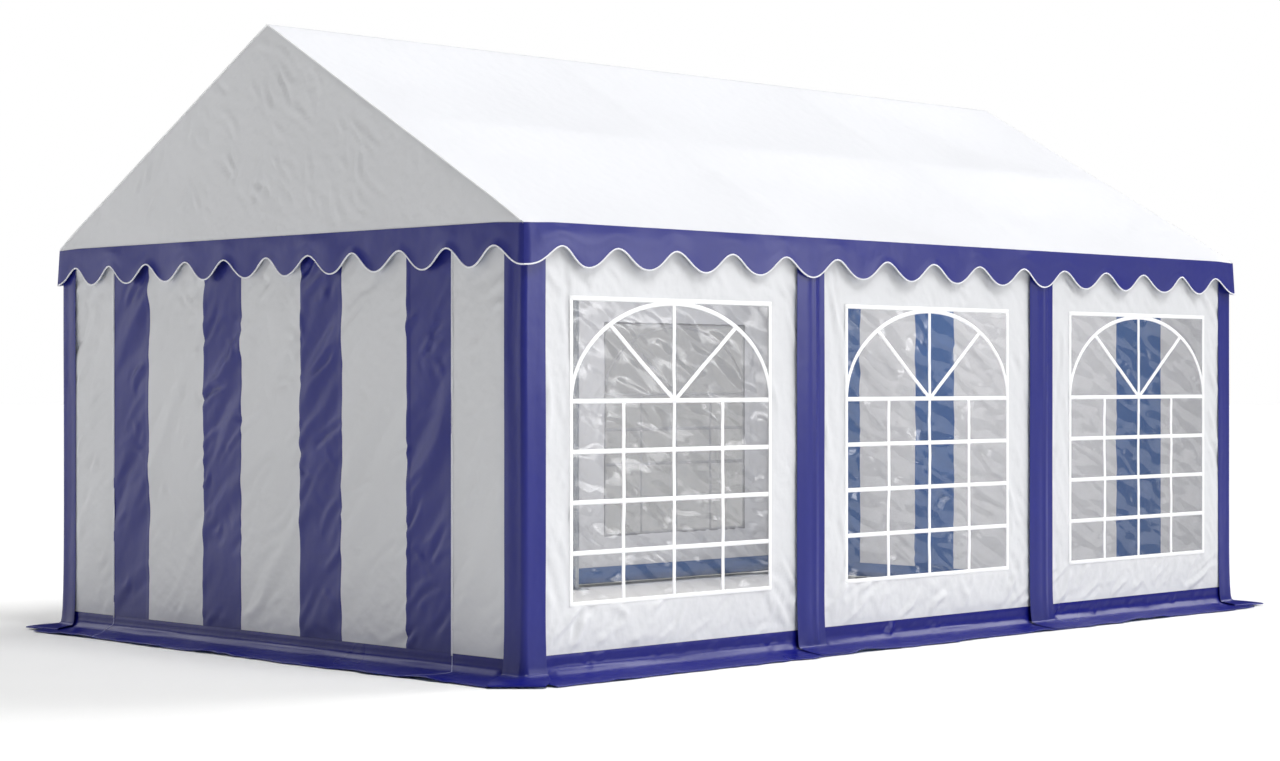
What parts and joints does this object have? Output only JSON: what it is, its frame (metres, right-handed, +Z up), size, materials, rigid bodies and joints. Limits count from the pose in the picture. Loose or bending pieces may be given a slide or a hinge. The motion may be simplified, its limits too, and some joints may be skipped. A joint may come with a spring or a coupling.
{
  "type": "party tent",
  "caption": "Gable-roofed party tent: a tube frame with a white sheet cover, blue scalloped valance, striped gable walls and arched-bar foil windows.",
  "frame": {"origin": "centre of the footprint on the ground", "axes": "+Z up, +Y along the ridge from the front gable to the back one, +X across the gables"},
  "size_m": [4.27, 6.42, 3.245],
  "materials": {
    "white_sheet": "satin",
    "striped_sheet": "satin",
    "blue_sheet": "satin",
    "clear_foil": "gloss",
    "galvanised_steel": "satin"
  },
  "bodies": {
    "root": {"back_door_panel": "striped_sheet", "back_gable": "white_sheet", "back_gable_tie": "galvanised_steel", "back_left_corner_cover": "blue_sheet", "back_left_post": "galvanised_steel", "back_left_strip": "white_sheet", "back_right_corner_cover": "blue_sheet", "back_right_post": "galvanised_steel", "back_right_strip": "white_sheet", "back_skirt": "blue_sheet", "back_truss": "galvanised_steel", "back_valance": "blue_sheet", "front_door_panel": "striped_sheet", "front_gable": "white_sheet", "front_gable_tie": "galvanised_steel", "front_left_corner_cover": "blue_sheet", "front_left_post": "galvanised_steel", "front_left_strip": "white_sheet", "front_right_corner_cover": "blue_sheet", "front_right_post": "galvanised_steel", "front_right_strip": "white_sheet", "front_skirt": "blue_sheet", "front_truss": "galvanised_steel", "front_valance": "blue_sheet", "left_eave_rail": "galvanised_steel", "left_purlin": "galvanised_steel", "left_skirt": "blue_sheet", "left_valance": "blue_sheet", "left_window_foil_1": "clear_foil", "left_window_foil_2": "clear_foil", "left_window_foil_3": "clear_foil", "left_window_wall_1": "white_sheet", "left_window_wall_2": "white_sheet", "left_window_wall_3": "white_sheet", "ridge_rail": "galvanised_steel", "right_eave_rail": "galvanised_steel", "right_purlin": "galvanised_steel", "right_skirt": "blue_sheet", "right_valance": "blue_sheet", "right_window_foil_1": "clear_foil", "right_window_foil_2": "clear_foil", "right_window_foil_3": "clear_foil", "right_window_wall_1": "white_sheet", "right_window_wall_2": "white_sheet", "right_window_wall_3": "white_sheet", "roof_cover": "white_sheet", "second_left_post": "galvanised_steel", "second_left_post_cover": "blue_sheet", "second_right_post": "galvanised_steel", "second_right_post_cover": "blue_sheet", "second_truss": "galvanised_steel", "third_left_post": "galvanised_steel", "third_left_post_cover": "blue_sheet", "third_right_post": "galvanised_steel", "third_right_post_cover": "blue_sheet", "third_truss": "galvanised_steel"}
  },
  "joints": []
}
